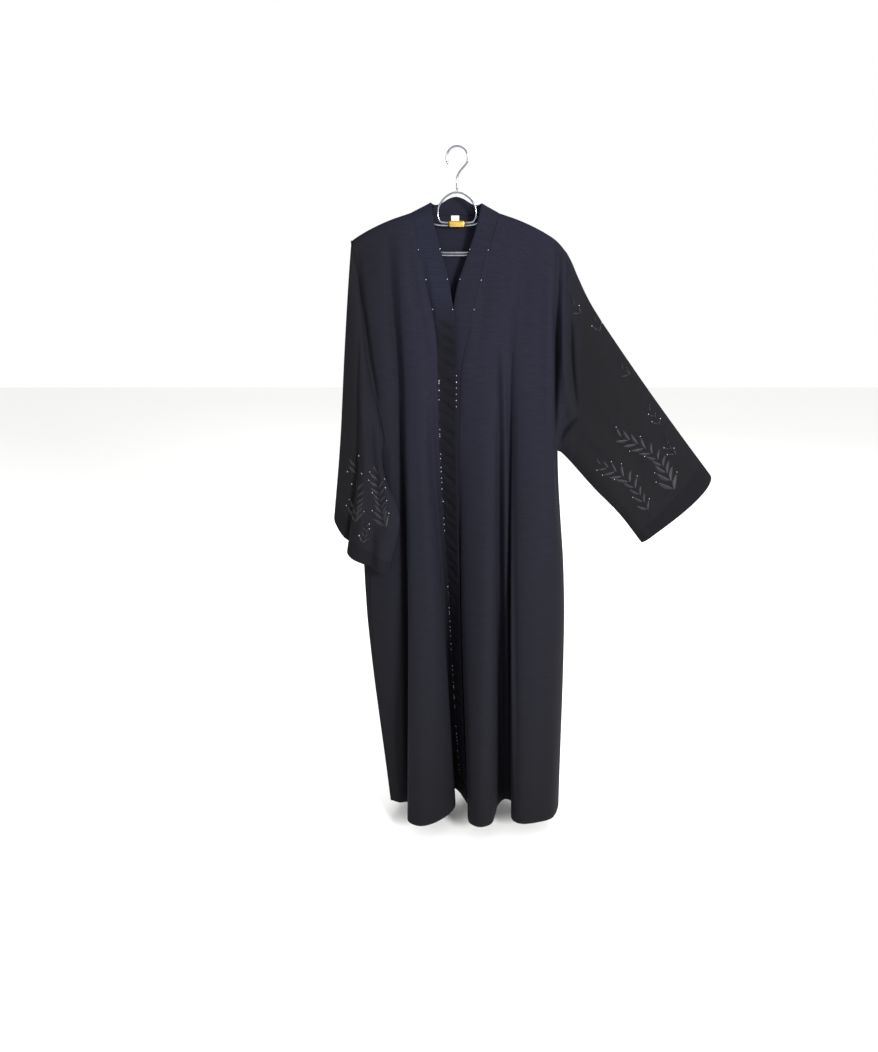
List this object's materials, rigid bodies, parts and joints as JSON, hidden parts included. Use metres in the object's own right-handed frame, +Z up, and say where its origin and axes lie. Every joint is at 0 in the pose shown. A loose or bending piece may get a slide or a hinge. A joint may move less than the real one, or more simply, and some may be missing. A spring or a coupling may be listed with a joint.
{
  "type": "abaya cloak on a hanger",
  "caption": "Long open-front abaya cloak with wide sleeves, hanging in soft flutes from a wire hanger, one sleeve held out to the side.",
  "frame": {"origin": "inner crown of the hanger's hook, the point that rests on a rail", "axes": "+Z up, -Y out of the front of the cloak, +X towards the wearer's left"},
  "size_m": [0.8346, 0.2342, 1.5175],
  "materials": {
    "cloak_cloth": "matte black crepe with fine crosswise slubs and black satin thread leaves on the sleeves",
    "band_cloth": "matte black crepe, topstitched, with a line of small black beads",
    "label_cloth": "plain white woven label",
    "hanger_wire": "bright chrome-plated wire",
    "hanger_clamp": "polished gold-coloured sleeve"
  },
  "bodies": {
    "root": {"back": "cloak_cloth", "front_right": "cloak_cloth", "front_left": "cloak_cloth", "sleeve_right": "cloak_cloth", "sleeve_left": "cloak_cloth", "band_right": "band_cloth", "band_left": "band_cloth", "back_neck_band": "band_cloth", "neck_label": "label_cloth", "hanger_hook": "hanger_wire", "hanger_loop": "hanger_wire", "hanger_frame": "hanger_wire", "hanger_bar": "hanger_wire", "hanger_clamp": "hanger_clamp"}
  },
  "joints": []
}
